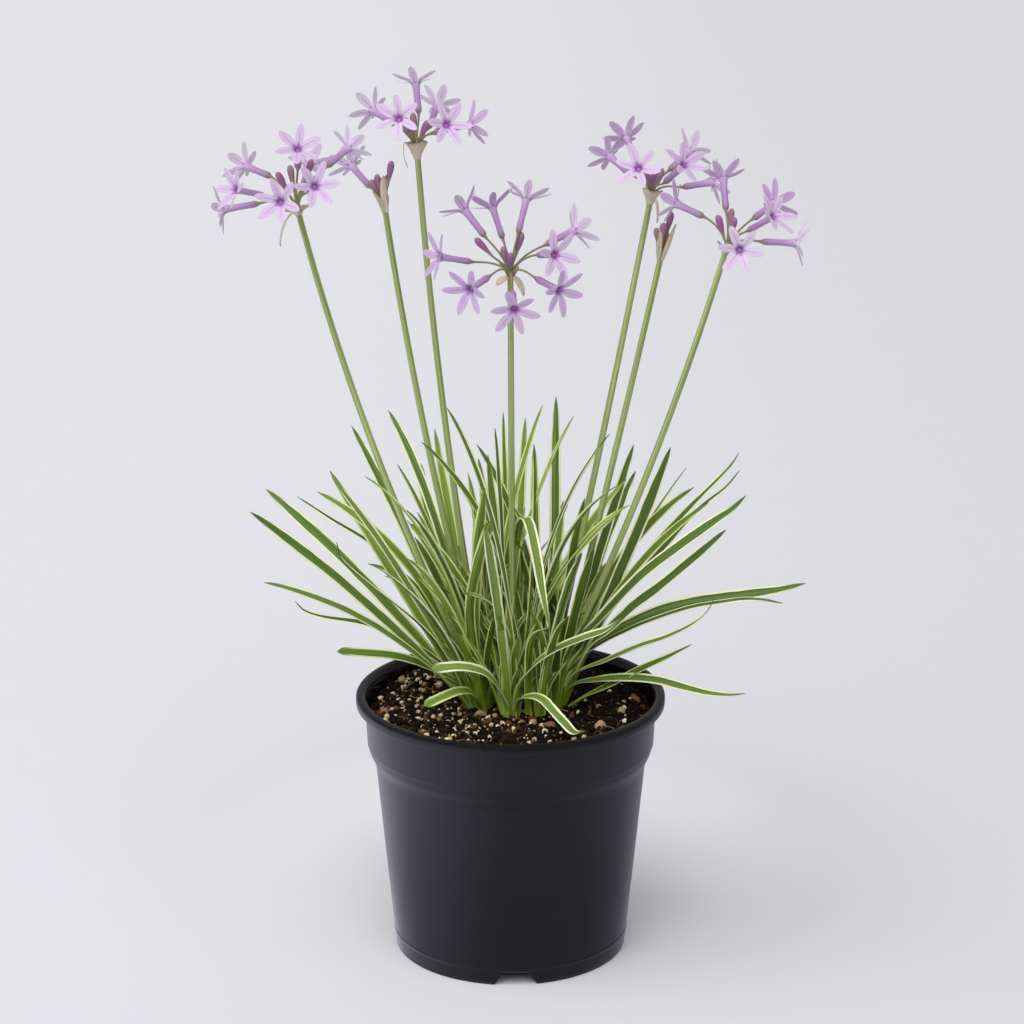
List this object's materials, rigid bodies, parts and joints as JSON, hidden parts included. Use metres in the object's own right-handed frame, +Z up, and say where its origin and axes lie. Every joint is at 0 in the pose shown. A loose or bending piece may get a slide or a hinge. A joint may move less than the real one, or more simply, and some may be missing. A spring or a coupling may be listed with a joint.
{
  "type": "potted society garlic",
  "caption": "Flowering garlic-scented patio plant: a clump of cream-edged strap leaves with tall stalks of lilac star flowers, growing in a round black nursery pot.",
  "frame": {"origin": "middle of the flat underside of the pot, at the level it rests on", "axes": "+Z up along the pot's axis; +Y points away from the side seen first, which shows one drain notch near its middle; +X is to the right of that view"},
  "size_m": [0.2991, 0.1823, 0.4734],
  "materials": {
    "pot": "satin black moulded plastic",
    "soil": "moist peat and bark mix with pale grit",
    "crown": "smooth fleshy leaf sheaths, pale yellow-green",
    "leaf": "satin living leaf, green with cream edges",
    "stalk": "smooth green flower stalk",
    "spathe": "dry papery bract, tan",
    "umbel": "soft lilac petals and purple buds on green stems"
  },
  "bodies": {
    "root": {"crown_front": "crown", "crown_left": "crown", "crown_middle": "crown", "crown_right": "crown", "leaf_front_01": "leaf", "leaf_front_02": "leaf", "leaf_front_03": "leaf", "leaf_front_04": "leaf", "leaf_left_01": "leaf", "leaf_left_02": "leaf", "leaf_left_03": "leaf", "leaf_left_04": "leaf", "leaf_left_05": "leaf", "leaf_left_06": "leaf", "leaf_left_07": "leaf", "leaf_left_08": "leaf", "leaf_left_09": "leaf", "leaf_left_10": "leaf", "leaf_left_11": "leaf", "leaf_middle_01": "leaf", "leaf_middle_02": "leaf", "leaf_middle_03": "leaf", "leaf_middle_04": "leaf", "leaf_middle_05": "leaf", "leaf_middle_06": "leaf", "leaf_right_01": "leaf", "leaf_right_02": "leaf", "leaf_right_03": "leaf", "leaf_right_04": "leaf", "leaf_right_05": "leaf", "leaf_right_06": "leaf", "leaf_right_07": "leaf", "leaf_right_08": "leaf", "leaf_right_09": "leaf", "leaf_right_10": "leaf", "leaf_right_11": "leaf", "leaf_right_12": "leaf", "pot": "pot", "soil": "soil", "spathe_1": "spathe", "spathe_2": "spathe", "spathe_3": "spathe", "spathe_4": "spathe", "spathe_5": "spathe", "spathe_6": "spathe", "spathe_7": "spathe", "stalk_1": "stalk", "stalk_2": "stalk", "stalk_3": "stalk", "stalk_4": "stalk", "stalk_5": "stalk", "stalk_6": "stalk", "stalk_7": "stalk", "umbel_1": "umbel", "umbel_2": "umbel", "umbel_3": "umbel", "umbel_4": "umbel", "umbel_5": "umbel", "umbel_6": "umbel", "umbel_7": "umbel"}
  },
  "joints": []
}
